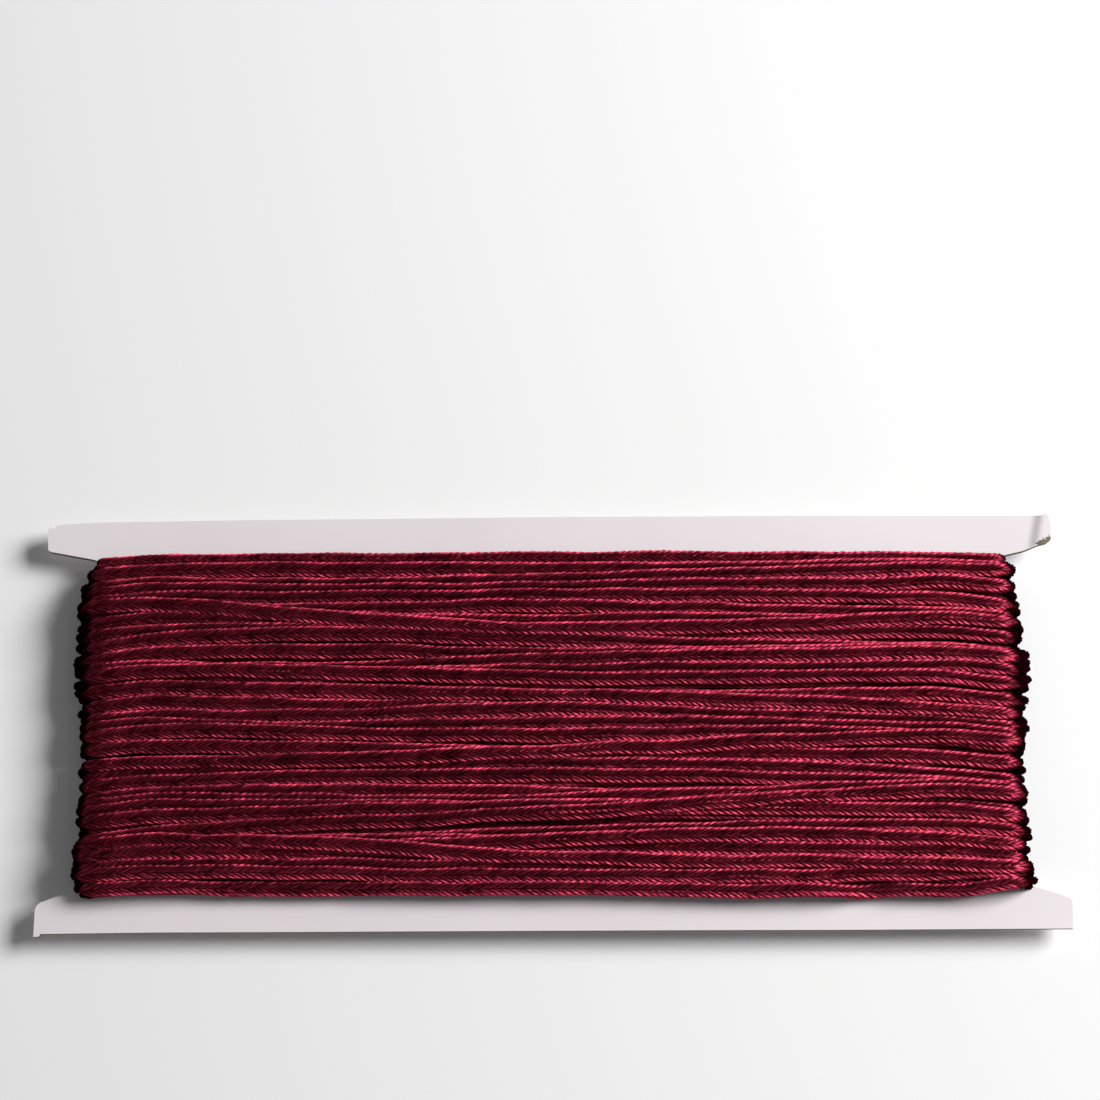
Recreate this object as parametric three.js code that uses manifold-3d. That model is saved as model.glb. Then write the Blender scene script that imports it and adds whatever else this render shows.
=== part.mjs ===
// A narrow decorative braid wound on a flat card, lying face up.
// Millimetres. X runs along the card, Y up across it, Z up towards the viewer.
// The back of the winding is pressed flat and rests on z = 0.
import * as THREE from 'three';
import { mergeVertices } from 'three/addons/utils/BufferGeometryUtils.js';
import Module from 'manifold-3d';

const wasm = await Module();
wasm.setup();

// The board: a long strip with a notch at each end that holds the winding.
const BOARD_THICKNESS = 1.7;
const BOARD_BACK_Z = 3.75;
const BOARD_HALF_LENGTH = 102.0;
const BOARD_TOP_Y = 41.7;
const BOARD_BOTTOM_Y = -41.7;
const WAIST_HALF_LENGTH = 90.0;
const CORNER_RADIUS = 1.4;
const CORNER_STEPS = 6;

// One row for each flange: where its tip and its root stand above or below the middle.
const FLANGES = [
  { name: 'top', edge: BOARD_TOP_Y, tip: 36.3, slopeStart: 34.9, root: 33.3 },
  { name: 'bottom', edge: BOARD_BOTTOM_Y, tip: -36.5, slopeStart: -35.0, root: -32.4 },
];
const SLOPE_START_X = 100.3;

// The winding: turns laid side by side round the waist of the board.
const CLEARANCE = 0.3;
const TURNS = 27;
const WINDING_TOP_Y = 34.4;
const WINDING_BOTTOM_Y = -35.3;
const BACK_HALF_THICKNESS = BOARD_BACK_Z + BOARD_THICKNESS / 2;
const FRONT_HALF_THICKNESS = 5.0;
const RIDGE_HEIGHT = 0.5;
const EDGE_DROP = 0.9;
const EDGE_DROP_TURNS = 1.6;
const SAMPLES_PER_TURN = 4;
const RIDGE_SHAPE = [0, 0.78, 1, 0.78];
const STRAIGHT_HALF_LENGTH = 88.0;
const FRONT_STATIONS = 16;
const END_STATIONS = 7;
const BACK_STATIONS = 8;

// The flat patch on the back that the object rests on.
const REST_HALF_LENGTH = 80.0;
const REST_HALF_HEIGHT = 28.0;
const REST_BLEND = 5.0;

// How far the turns reach past the middle at either end, from the top of the winding to its foot.
const REACH = [
  { y: 34.4, left: 92.9, right: 92.4 },
  { y: 30.0, left: 94.4, right: 93.5 },
  { y: 24.5, left: 95.7, right: 94.6 },
  { y: 18.0, left: 95.5, right: 95.2 },
  { y: 13.0, left: 96.5, right: 96.4 },
  { y: 6.0, left: 96.0, right: 96.2 },
  { y: 2.0, left: 95.4, right: 95.2 },
  { y: -3.0, left: 94.8, right: 95.8 },
  { y: -9.0, left: 94.1, right: 94.1 },
  { y: -17.0, left: 94.1, right: 94.4 },
  { y: -24.5, left: 95.2, right: 94.8 },
  { y: -29.5, left: 93.8, right: 94.6 },
  { y: -33.0, left: 93.9, right: 95.6 },
  { y: -35.3, left: 93.6, right: 94.6 },
];

// Turns that run across their neighbours on the front: height at the left, middle and right.
const CROSSINGS = [
  { left: 27.0, middle: 19.0, right: 23.5 },
  { left: 17.6, middle: 11.9, right: 13.2 },
  { left: 9.6, middle: 5.4, right: -3.2 },
  { left: -2.4, middle: -4.4, right: 0.6 },
  { left: -21.9, middle: -16.8, right: -11.5 },
  { left: -24.6, middle: -26.2, right: -30.0 },
];
const CROSSING_HALF_WIDTH = 1.5;
const CROSSING_LIFT = 0.45;

function lerp(a, b, t) {
  return a + (b - a) * t;
}

function smooth(edgeA, edgeB, value) {
  const t = Math.min(1, Math.max(0, (value - edgeA) / (edgeB - edgeA)));
  return t * t * (3 - 2 * t);
}

// Reads one column of a table whose rows run down in y.
function readTable(rows, column, y) {
  for (let i = 1; i < rows.length; i += 1) {
    if (y >= rows[i].y) {
      const span = rows[i - 1].y - rows[i].y;
      const t = Math.min(1, (rows[i - 1].y - y) / span);
      return lerp(rows[i - 1][column], rows[i][column], t);
    }
  }
  return rows[rows.length - 1][column];
}

// The board's outline, grown outwards all round by the given distance.
function boardShape(grow) {
  const [top, bottom] = FLANGES;
  const half = BOARD_HALF_LENGTH + grow;
  const shape = new THREE.Shape();
  shape.moveTo(-half, bottom.edge - grow);
  shape.lineTo(half, bottom.edge - grow);
  addNotch(shape, 1, bottom, top, grow);
  shape.lineTo(half, top.edge + grow);
  shape.lineTo(-half, top.edge + grow);
  addNotch(shape, -1, top, bottom, -grow);
  shape.closePath();
  return shape;
}

// The notch at one end, from one flange's tip round the waist to the other flange's tip.
// side is +1 on the right and -1 on the left; rise is the growth of the first flange.
function addNotch(shape, side, first, second, rise) {
  const grow = Math.abs(rise);
  const half = side * (BOARD_HALF_LENGTH + grow);
  const slopeX = side * (SLOPE_START_X + grow);
  const waist = side * (WAIST_HALF_LENGTH + grow);
  addRoundTip(shape, half, slopeX, first, rise);
  shape.lineTo(waist, first.root + rise);
  shape.lineTo(waist, second.root - rise);
  const tip = new THREE.Vector2(half, second.tip - rise);
  const slope = new THREE.Vector2(slopeX, second.slopeStart - rise);
  const root = new THREE.Vector2(waist, second.root - rise);
  const end = tip.clone();
  end.y += Math.sign(second.edge) * CORNER_RADIUS;
  const start = slope.clone().lerp(root, CORNER_RADIUS / slope.distanceTo(root));
  shape.lineTo(start.x, start.y);
  shape.bezierCurveTo(slope.x, slope.y, tip.x, tip.y, end.x, end.y);
}

// The rounded tip of a flange, met on the way from its long edge to the waist.
function addRoundTip(shape, half, slopeX, flange, rise) {
  const inward = Math.sign(flange.edge) * CORNER_RADIUS;
  const slopeY = flange.slopeStart + rise;
  const pull = (flange.slopeStart - flange.root) * 0.15;
  shape.lineTo(half, flange.tip + rise + inward);
  shape.bezierCurveTo(half, flange.tip + rise, slopeX, slopeY,
    slopeX - Math.sign(slopeX) * CORNER_RADIUS, slopeY - pull);
}

function toManifold(geometry) {
  const bare = new THREE.BufferGeometry();
  bare.setAttribute('position', geometry.getAttribute('position'));
  if (geometry.index) {
    bare.setIndex(geometry.index);
  }
  const joined = mergeVertices(bare, 1e-5);
  return new wasm.Manifold(new wasm.Mesh({
    numProp: 3,
    vertProperties: joined.getAttribute('position').array,
    triVerts: new Uint32Array(joined.index.array),
  }));
}

// A flat slab of the board's outline between two heights.
function slab(grow, bottomZ, topZ) {
  const geometry = new THREE.ExtrudeGeometry(boardShape(grow), {
    depth: topZ - bottomZ,
    bevelEnabled: false,
    curveSegments: CORNER_STEPS,
  });
  geometry.translate(0, 0, bottomZ);
  return toManifold(geometry);
}

// The stations round the waist: where each one stands on the racetrack.
// kind tells front, right end, back and left end apart; t runs from 0 to 1 along each.
function stations() {
  const list = [];
  for (let i = 0; i < FRONT_STATIONS; i += 1) {
    list.push({ kind: 'front', t: i / FRONT_STATIONS });
  }
  for (let i = 0; i < END_STATIONS; i += 1) {
    list.push({ kind: 'right', t: i / END_STATIONS });
  }
  for (let i = 0; i < BACK_STATIONS; i += 1) {
    list.push({ kind: 'back', t: i / BACK_STATIONS });
  }
  for (let i = 0; i < END_STATIONS; i += 1) {
    list.push({ kind: 'left', t: i / END_STATIONS });
  }
  return list;
}

// A gentle, uneven lean of the turns, so that the ridges are not ruler-straight.
function lean(y, x) {
  const slow = Math.sin(y * 0.31 + 0.9) * 0.5 + Math.sin(y * 0.13 + 2.1) * 0.5;
  return slow * 0.7 * (x / STRAIGHT_HALF_LENGTH);
}

// How much a crossing turn lifts the front at this place.
function crossingLift(x, y) {
  const t = x / STRAIGHT_HALF_LENGTH;
  let lift = 0;
  for (const row of CROSSINGS) {
    const bow = (row.left + row.right) / 2 - row.middle;
    const path = row.middle + ((row.right - row.left) / 2) * t + bow * t * t;
    const near = 1 - smooth(CROSSING_HALF_WIDTH * 0.4, CROSSING_HALF_WIDTH, Math.abs(y - path));
    lift = Math.max(lift, near * CROSSING_LIFT);
  }
  return lift;
}

// One point of the winding's outside: station on the loop, sample down the winding.
function windingPoint(station, sample, samples) {
  const down = sample / samples;
  const y = lerp(WINDING_TOP_Y, WINDING_BOTTOM_Y, down);
  const ridge = RIDGE_HEIGHT * RIDGE_SHAPE[sample % SAMPLES_PER_TURN];
  const fromEdge = Math.min(sample, samples - sample) / SAMPLES_PER_TURN;
  const drop = EDGE_DROP * (1 - smooth(0, EDGE_DROP_TURNS, fromEdge));
  const front = FRONT_HALF_THICKNESS - RIDGE_HEIGHT - drop;
  const back = BACK_HALF_THICKNESS - drop;
  const middleZ = BACK_HALF_THICKNESS;
  if (station.kind === 'front') {
    const x = lerp(-STRAIGHT_HALF_LENGTH, STRAIGHT_HALF_LENGTH, station.t);
    const yy = y + lean(y, x) * smooth(0, 2, fromEdge);
    return [x, yy, middleZ + front + ridge + crossingLift(x, yy)];
  }
  if (station.kind === 'back') {
    const x = lerp(STRAIGHT_HALF_LENGTH, -STRAIGHT_HALF_LENGTH, station.t);
    const pressed = (1 - smooth(REST_HALF_LENGTH, REST_HALF_LENGTH + REST_BLEND, Math.abs(x)))
      * (1 - smooth(REST_HALF_HEIGHT, REST_HALF_HEIGHT + REST_BLEND, Math.abs(y)));
    const hollow = (RIDGE_HEIGHT - ridge) * 0.6 + drop;
    return [x, y, hollow * (1 - pressed)];
  }
  const side = station.kind === 'right' ? 1 : -1;
  const reach = readTable(REACH, station.kind, y) - RIDGE_HEIGHT + ridge;
  const angle = station.t * Math.PI;
  const swing = station.kind === 'right' ? Math.cos(angle) : -Math.cos(angle);
  const out = Math.pow(Math.sin(angle), 0.8);
  const x = side * (STRAIGHT_HALF_LENGTH + (reach - STRAIGHT_HALF_LENGTH) * out);
  const yy = y + lean(y, x) * smooth(0, 2, fromEdge) * Math.max(0, swing);
  const depth = swing > 0 ? front + ridge : back - (RIDGE_HEIGHT - ridge) * 0.6;
  return [x, yy, middleZ + swing * depth];
}

// The winding without its slot: the ridged outside closed by two end caps.
function windingBlock() {
  const loop = stations();
  const samples = TURNS * SAMPLES_PER_TURN;
  const vertices = [];
  const triangles = [];
  const round = loop.length;
  for (let j = 0; j <= samples; j += 1) {
    for (const station of loop) {
      vertices.push(...windingPoint(station, j, samples));
    }
  }
  for (let j = 0; j < samples; j += 1) {
    for (let i = 0; i < round; i += 1) {
      const a = j * round + i;
      const b = j * round + ((i + 1) % round);
      triangles.push(a, b + round, b, a, a + round, b + round);
    }
  }
  for (const [row, flip] of [[0, true], [samples, false]]) {
    const start = row * round;
    const cap = loop.map((_, i) => new THREE.Vector2(
      vertices[(start + i) * 3], vertices[(start + i) * 3 + 2]));
    for (const [a, b, c] of THREE.ShapeUtils.triangulateShape(cap, [])) {
      const order = flip ? [c, b, a] : [a, b, c];
      triangles.push(...order.map((k) => start + k));
    }
  }
  const geometry = new THREE.BufferGeometry();
  geometry.setAttribute('position', new THREE.Float32BufferAttribute(vertices, 3));
  geometry.setIndex(triangles);
  return toManifold(geometry);
}

function toMesh(solid, name, color, roughness) {
  const data = solid.getMesh();
  const geometry = new THREE.BufferGeometry();
  const position = new Float32Array(data.numVert * 3);
  for (let i = 0; i < data.numVert; i += 1) {
    for (let k = 0; k < 3; k += 1) {
      position[i * 3 + k] = data.vertProperties[i * data.numProp + k];
    }
  }
  geometry.setAttribute('position', new THREE.BufferAttribute(position, 3));
  geometry.setIndex(Array.from(data.triVerts));
  geometry.computeVertexNormals();
  const mesh = new THREE.Mesh(geometry, new THREE.MeshStandardMaterial({ color, roughness }));
  mesh.name = name;
  return mesh;
}

const boardFront = BOARD_BACK_Z + BOARD_THICKNESS;
const board = slab(0, BOARD_BACK_Z, boardFront);
const slot = slab(CLEARANCE, BOARD_BACK_Z - CLEARANCE, boardFront + CLEARANCE);
const winding = windingBlock().subtract(slot);

const group = new THREE.Group();
group.name = 'braid_card';
group.add(toMesh(board, 'card', 0xe6dde1, 0.55));
group.add(toMesh(winding, 'winding', 0x7a1428, 0.6));

export default group;
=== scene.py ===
"""A narrow ribbed braid wound on a flat card, lying face up on a pale table.

The braid is laid turn by turn on a height field, as a winder would lay it, and then plaited in mesh.
"""

import math

import bpy
import numpy as np
from bpy.props import FloatProperty, FloatVectorProperty, IntProperty, PointerProperty
from mathutils import Euler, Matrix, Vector
from mathutils.geometry import delaunay_2d_cdt


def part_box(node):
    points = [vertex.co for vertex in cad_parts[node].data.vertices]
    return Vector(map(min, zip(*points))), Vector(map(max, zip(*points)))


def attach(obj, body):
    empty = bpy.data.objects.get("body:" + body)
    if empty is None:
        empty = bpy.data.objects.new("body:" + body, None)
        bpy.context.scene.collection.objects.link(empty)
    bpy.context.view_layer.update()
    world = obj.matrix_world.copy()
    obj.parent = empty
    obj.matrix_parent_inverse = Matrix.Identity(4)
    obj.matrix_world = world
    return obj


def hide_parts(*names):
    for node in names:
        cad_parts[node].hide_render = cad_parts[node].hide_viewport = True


bl_info = {
    "name": "Braid on a card",
    "version": (1, 0, 0),
    "blender": (4, 5, 0),
    "location": "View3D > Sidebar > Braid",
    "description": "Builds a wound card of ribbed braid with its floor, lights and camera",
    "category": "Object",
}

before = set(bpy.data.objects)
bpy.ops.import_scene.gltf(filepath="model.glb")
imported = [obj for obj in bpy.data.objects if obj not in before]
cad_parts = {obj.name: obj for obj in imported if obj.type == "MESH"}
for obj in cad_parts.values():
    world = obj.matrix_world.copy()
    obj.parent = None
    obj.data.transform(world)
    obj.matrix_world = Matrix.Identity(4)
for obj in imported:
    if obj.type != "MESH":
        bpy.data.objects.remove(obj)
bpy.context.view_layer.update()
MM = 0.001

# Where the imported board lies, in millimetres.
BOARD_LOW, BOARD_HIGH = (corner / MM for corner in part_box("card"))
BOARD_MIDDLE_Z = (BOARD_LOW.z + BOARD_HIGH.z) / 2
BOARD_HALF_THICKNESS = (BOARD_HIGH.z - BOARD_LOW.z) / 2

# The loop that a turn follows round the waist of the board.
WAIST_HALF_LENGTH = 89.15
END_RADIUS = 4.2
END_LENGTH = math.pi * END_RADIUS
LOOP_LENGTH = 4 * WAIST_HALF_LENGTH + 2 * END_LENGTH

# The field that the turns are laid on: height over the board, by place on the loop and across.
FIELD_STEP = 1.0
CROSS_STEP = 0.1
CROSS_LOW = -37.5
CROSS_HIGH = 36.5

# The plain heart of the winding: how far it reaches across the card, how high it stands off the
# board, how far in from its edge it has that height and how many points it has round the loop.
CORE_LOW = -33.6
CORE_HIGH = 33.0
CORE_HEIGHT = 1.3
CORE_EDGE_HEIGHT = 0.2
CORE_SLOPE = 1.0
CORE_POINTS = 160

# How high either layer of turns lies off the board, and how much lower beside the flanges.
# SPRING is the share that a turn keeps of the bumps beneath it.
HIDDEN_LEVEL = 2.1
SHOWN_LEVEL = 3.3
SPRING = 0.75
EDGE_DROP = 1.5
EDGE_FROM = 29.0
EDGE_TO = 34.5

# How stiff a turn is, in millimetres along it: how far it evens out what it rests on, how far
# off it feels a bump, and how softly its height and its path then change.
SUPPORT_SOFTNESS = 1.5
SUPPORT_REACH = 2.0
HEIGHT_SOFTNESS = 3.0
PATH_SOFTNESS = 4.0

# The table presses the turns on the back flat, with a little play. In the nearest of the three
# parts of either end the room above them grows to LET_GO, and past it there is no ceiling.
TABLE_PLAY = 0.05
END_PARTS = 3
LET_GO = 3.0
NO_CEILING = 99.0

# Where each visible turn runs on the front, in millimetres above the middle of the card,
# and how deep it lies: 1 beside its neighbours, 2 across them.
STATION_NAMES = ("left", "mid_left", "middle", "mid_right", "right")
STATION_X = (-86.0, -44.0, 0.0, 43.5, 81.5)
TURNS = (
    {"depth": 1, "left": 33.4, "mid_left": 33.2, "middle": 33.0, "mid_right": 32.6, "right": 31.9},
    {"depth": 1, "left": 31.0, "mid_left": 31.0, "middle": 30.4, "mid_right": 30.3, "right": 30.5},
    {"depth": 1, "left": 28.2, "mid_left": 27.6, "middle": 28.2, "mid_right": 29.0, "right": 29.9},
    {"depth": 1, "left": 26.9, "mid_left": 26.3, "middle": 26.6, "mid_right": 26.9, "right": 27.2},
    {"depth": 1, "left": 25.5, "mid_left": 24.9, "middle": 25.1, "mid_right": 24.5, "right": 23.7},
    {"depth": 1, "left": 23.1, "mid_left": 22.3, "middle": 22.9, "mid_right": 21.6, "right": 20.6},
    {"depth": 2, "left": 24.5, "mid_left": 20.6, "middle": 17.9, "mid_right": 18.3, "right": 19.6},
    {"depth": 1, "left": 21.0, "mid_left": 20.4, "middle": 20.0, "mid_right": 19.6, "right": 18.4},
    {"depth": 1, "left": 18.3, "mid_left": 18.1, "middle": 17.1, "mid_right": 16.9, "right": 16.7},
    {"depth": 1, "left": 16.5, "mid_left": 17.5, "middle": 15.9, "mid_right": 14.4, "right": 13.1},
    {"depth": 1, "left": 13.7, "mid_left": 14.2, "middle": 12.9, "mid_right": 13.0, "right": 13.1},
    {"depth": 1, "left": 11.8, "mid_left": 10.4, "middle": 11.8, "mid_right": 12.2, "right": 12.3},
    {"depth": 1, "left": 8.6, "mid_left": 9.0, "middle": 9.6, "mid_right": 9.8, "right": 10.0},
    {"depth": 1, "left": 10.4, "mid_left": 9.6, "middle": 8.2, "mid_right": 7.9, "right": 7.4},
    {"depth": 2, "left": 7.3, "mid_left": 6.1, "middle": 4.9, "mid_right": 2.9, "right": 1.2},
    {"depth": 1, "left": 4.3, "mid_left": 2.9, "middle": 2.7, "mid_right": 4.2, "right": 4.2},
    {"depth": 1, "left": 1.5, "mid_left": 0.9, "middle": 1.9, "mid_right": 0.3, "right": -1.5},
    {"depth": 1, "left": -0.1, "mid_left": -1.5, "middle": -0.9, "mid_right": -1.5, "right": -2.9},
    {"depth": 1, "left": -1.8, "mid_left": -2.7, "middle": -3.3, "mid_right": -2.9, "right": -5.0},
    {"depth": 1, "left": -4.7, "mid_left": -5.6, "middle": -7.2, "mid_right": -7.5, "right": -8.6},
    {"depth": 2, "left": -7.7, "mid_left": -8.0, "middle": -6.6, "mid_right": -5.1, "right": -4.3},
    {"depth": 1, "left": -10.0, "mid_left": -9.8, "middle": -9.0, "mid_right": -10.1, "right": -11.9},
    {"depth": 1, "left": -12.0, "mid_left": -11.4, "middle": -11.2, "mid_right": -12.1, "right": -13.5},
    {"depth": 1, "left": -14.4, "mid_left": -14.1, "middle": -14.9, "mid_right": -17.3, "right": -18.0},
    {"depth": 1, "left": -15.6, "mid_left": -16.1, "middle": -16.5, "mid_right": -15.1, "right": -14.1},
    {"depth": 1, "left": -17.0, "mid_left": -17.1, "middle": -18.1, "mid_right": -19.3, "right": -20.2},
    {"depth": 1, "left": -18.9, "mid_left": -18.3, "middle": -17.7, "mid_right": -18.3, "right": -19.2},
    {"depth": 2, "left": -22.5, "mid_left": -20.7, "middle": -19.1, "mid_right": -16.5, "right": -14.9},
    {"depth": 1, "left": -24.7, "mid_left": -24.3, "middle": -22.9, "mid_right": -22.0, "right": -22.2},
    {"depth": 1, "left": -27.4, "mid_left": -24.3, "middle": -24.8, "mid_right": -26.4, "right": -26.9},
    {"depth": 1, "left": -26.9, "mid_left": -25.8, "middle": -24.2, "mid_right": -23.4, "right": -24.9},
    {"depth": 1, "left": -25.9, "mid_left": -26.6, "middle": -29.0, "mid_right": -30.1, "right": -30.6},
    {"depth": 2, "left": -23.5, "mid_left": -24.8, "middle": -27.8, "mid_right": -28.9, "right": -29.8},
    {"depth": 1, "left": -28.4, "mid_left": -29.0, "middle": -29.2, "mid_right": -30.5, "right": -32.0},
    {"depth": 1, "left": -29.6, "mid_left": -30.4, "middle": -31.3, "mid_right": -31.7, "right": -31.2},
    {"depth": 1, "left": -32.7, "mid_left": -33.2, "middle": -33.7, "mid_right": -34.2, "right": -34.8},
)

# How far the turns reach at either end, by height.
REACH_Y = (34.4, 30.0, 24.5, 18.0, 13.0, 6.0, 2.0, -3.0, -9.0, -17.0, -24.5, -29.5, -33.0, -35.3)
REACH_LEFT = (92.9, 94.4, 95.7, 95.5, 96.5, 96.0, 95.4, 94.8, 94.1, 94.1, 95.2, 93.8, 93.9, 93.6)
REACH_RIGHT = (92.4, 93.5, 94.6, 95.2, 96.4, 96.2, 95.2, 95.8, 94.1, 94.4, 94.8, 94.6, 95.6, 94.6)

# The layer beneath, which shows only in the gaps.
UNDER_TURNS = 27
UNDER_SEED = 11
UNDER_HIGH = 31.8
UNDER_LOW = -31.4
UNDER_WANDER = 0.5

# How far the topmost and the lowest turns move up as they pass round either end, the heights
# where that begins and is full, and the same for its place along the front.
LEFT_PULL = (0.6, 0.9)
RIGHT_PULL = (1.1, 3.0)
TOP_PULLED = (26.0, 33.0)
BOTTOM_PULLED = (-28.0, -34.4)
PULL_FROM = 82.0
PULL_TO = 90.0

# How much lower a turn runs round the ends than on the faces, and where it begins to.
END_DROOP = 1.2
DROOP_FROM = 81.0

# How much a turn wanders from its line, and how much it rocks, in millimetres and radians.
WANDER = 0.42
ROCK = 0.38
WANDER_LENGTH = 4.0
HAND_SEED = 5

# How much shorter than the longest a turn may be at either end, how far that may draw it in or
# out there, and how sharply it is drawn.
MOST_SLIP = 1.8
SLACK_IN = -1.5
SLACK_OUT = 3.0
SLACK_POWER = 1.5

# The braid: two ribs side by side, plaited over with twisted strands. UNEVEN is how much the
# strands differ in depth and PICK_DRIFT in width, as shares.
RIB_OFFSET = 0.72
RIB_HALF_WIDTH = 0.75
RIB_HALF_THICKNESS = 0.66
GROOVE_TOP = 0.12
GROOVE_BOTTOM = -0.28
STRAND_SLANT = 1.75
COLUMNS_PER_PICK = 4
STRAND_SHAPE = (-0.62, 0.18, 0.38, 0.18)
UNEVEN = 0.36
PICK_DRIFT = 0.11
RIB_ANGLES = (112, 72, 32, -12, -70)
MOST_ROLL = math.radians(38)
TURNS_PER_PIECE = 9

# How far from the ends, on the back, the mesh becomes fine, and how far it stays off the floor.
FINE_BEFORE_END = 8.0
FLOOR_PLAY = 0.02

# How far apart the turns' UVs lie, in picks, so that no two turns look alike.
TURN_UV_STEP = 331.0

# How fast the noise of the filaments and of the plies changes, for each millimetre along a
# strand and for each pick across it, and how deep the filaments are.
FILAMENT_RATES = (1.0, 8.0)
PLY_RATES = (0.8, 3.8)
FILAMENT_DEPTH = 0.085

# How uneven the thread's lustre is, by share, and the sum below which it looks dull.
FILAMENT_SHARE = 3.0
PLY_SHARE = 2.0
STRAND_SHARE = 0.45
DULL_BELOW = 2.18

# How far off a strand's middle, in picks, painted shade begins to darken the valley beside it.
VALLEY_SHADE_FROM = 0.24

# Where the skin turns down into the gap beside the braid and how wide its groove is, both in
# millimetres along the skin, and how much painted shade darkens each.
SIDE_FROM = 1.8
SIDE_TO = 2.3
SIDE_SHADE = 0.8
GROOVE_WIDTH = 0.3
GROOVE_SHADE = 0.45

# Painted shade round the ends: the bends, 0 on the faces and 1 farthest out, where it begins and is
# full.
# The bend counts for more by the third number for each millimetre along the skin. The fourth is
# how much painted shade there is at most, and the last how dark it is against the shade colour.
END_SHADE_FROM = 0.45
END_SHADE_TO = 1.15
END_SHADE_AT_SIDES = 0.8
END_SHADE_MOST = 0.993
END_SHADE_DEPTH = 0.12

# How metallic the thread shines on the faces. Round the ends the painted shade takes this sheen away.
METALLIC = 0.95


class BraidSettings(bpy.types.PropertyGroup):
    """Sizes and colours of the braid."""

    pick: FloatProperty(
        name="Pick",
        description="Length of braid taken up by one strand on a rib",
        default=1.38 * MM,
        unit="LENGTH",
    )
    strand_depth: FloatProperty(
        name="Strand depth",
        description="How deep the valleys between strands are",
        default=0.26 * MM,
        unit="LENGTH",
    )
    thread: FloatVectorProperty(
        name="Thread",
        description="Colour of the lustrous thread",
        default=(0.66, 0.062, 0.12),
        subtype="COLOR",
        size=3,
    )
    # The shade is the colour of dull thread, and also the colour that the painted shade in the valleys,
    # in the groove, at the sides and round the ends darkens toward.
    shade: FloatVectorProperty(
        name="Shade",
        description="Colour of the thread deep between the strands",
        default=(0.04, 0.0014, 0.005),
        subtype="COLOR",
        size=3,
    )


class CardSettings(bpy.types.PropertyGroup):
    """Colours of the card."""

    coating: FloatVectorProperty(
        name="Coating",
        description="Colour of the coated paper on the faces",
        default=(0.87, 0.805, 0.83),
        subtype="COLOR",
        size=3,
    )
    pulp: FloatVectorProperty(
        name="Pulp",
        description="Colour of the raw board at the cut edges",
        default=(0.14, 0.11, 0.075),
        subtype="COLOR",
        size=3,
    )


class StageSettings(bpy.types.PropertyGroup):
    """The floor and the light."""

    floor: FloatVectorProperty(
        name="Floor",
        description="Colour of the floor",
        default=(0.96, 0.96, 0.96),
        subtype="COLOR",
        size=3,
    )
    key: FloatProperty(
        name="Key light",
        description="Power of the soft light at the right of the card",
        default=23.2,
        unit="POWER",
    )
    fill: FloatProperty(
        name="Fill",
        description="Strength of the even light from all round",
        default=0.15,
    )


# Helpers for meshes and materials


def smooth(low, high, value):
    """0 below low, 1 above high and a soft step between."""
    t = np.clip((value - low) / (high - low), 0.0, 1.0)
    return t * t * (3 - 2 * t)


def make_mesh(name, vertices, faces, uv=None, smooth_faces=True):
    """A mesh object from arrays: vertices in millimetres, quads, and one UV for each corner."""
    mesh = bpy.data.meshes.new(name)
    mesh.vertices.add(len(vertices))
    mesh.vertices.foreach_set("co", (np.asarray(vertices, np.float32) * MM).ravel())
    faces = np.asarray(faces, np.int32)
    mesh.loops.add(faces.size)
    mesh.loops.foreach_set("vertex_index", faces.ravel())
    mesh.polygons.add(len(faces))
    starts = np.arange(len(faces), dtype=np.int32) * faces.shape[1]
    mesh.polygons.foreach_set("loop_start", starts)
    mesh.update(calc_edges=True)
    if uv is not None:
        layer = mesh.uv_layers.new(name="Strand")
        layer.data.foreach_set("uv", np.asarray(uv, np.float32).ravel())
    mesh.polygons.foreach_set("use_smooth", np.full(len(faces), smooth_faces))
    mesh.update()
    piece = bpy.data.objects.new(name, mesh)
    bpy.context.scene.collection.objects.link(piece)
    return piece


def add_node(tree, kind, **settings):
    """A shader node with the given settings; a key that names an input sets that input."""
    node = tree.nodes.new(kind)
    for key, value in settings.items():
        if key in node.inputs:
            node.inputs[key].default_value = value
        else:
            setattr(node, key, value)
    return node


def new_material(name):
    """An empty material with its tree, its Principled shader and its output."""
    material = bpy.data.materials.new(name)
    material.use_nodes = True
    tree = material.node_tree
    tree.nodes.clear()
    shader = add_node(tree, "ShaderNodeBsdfPrincipled")
    output = add_node(tree, "ShaderNodeOutputMaterial")
    tree.links.new(shader.outputs["BSDF"], output.inputs["Surface"])
    return material, tree, shader


def math_node(tree, operation, first, second=None):
    """A Math node; first and second are sockets or numbers."""
    node = tree.nodes.new("ShaderNodeMath")
    node.operation = operation
    for index, value in enumerate((first, second)):
        if isinstance(value, bpy.types.NodeSocket):
            tree.links.new(value, node.inputs[index])
        elif value is not None:
            node.inputs[index].default_value = value
    return node.outputs[0]


def mix_colours(tree, factor, first, second):
    """A colour between first and second, each a socket or a colour, by a factor's socket."""
    node = tree.nodes.new("ShaderNodeMix")
    node.data_type = "RGBA"
    tree.links.new(factor, node.inputs[0])
    for index, value in ((6, first), (7, second)):
        if isinstance(value, bpy.types.NodeSocket):
            tree.links.new(value, node.inputs[index])
        else:
            node.inputs[index].default_value = (*value, 1.0)
    return node.outputs[2]


# Laying the turns


def front_height(turn, x):
    """Where a turn of the table runs at each x on the front, midway between curve and polygon."""
    values = [turn[name] for name in STATION_NAMES]
    curve = np.polynomial.Polynomial.fit(STATION_X, values, len(values) - 1)
    inside = np.clip(x, STATION_X[0], STATION_X[-1])
    return 0.5 * curve(inside) + 0.5 * np.interp(x, STATION_X, values)


def field_places():
    """The places on the loop where the field is kept, from the middle of the back round."""
    count = int(round(LOOP_LENGTH / FIELD_STEP))
    return (np.arange(count) + 0.5) * LOOP_LENGTH / count


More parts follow.
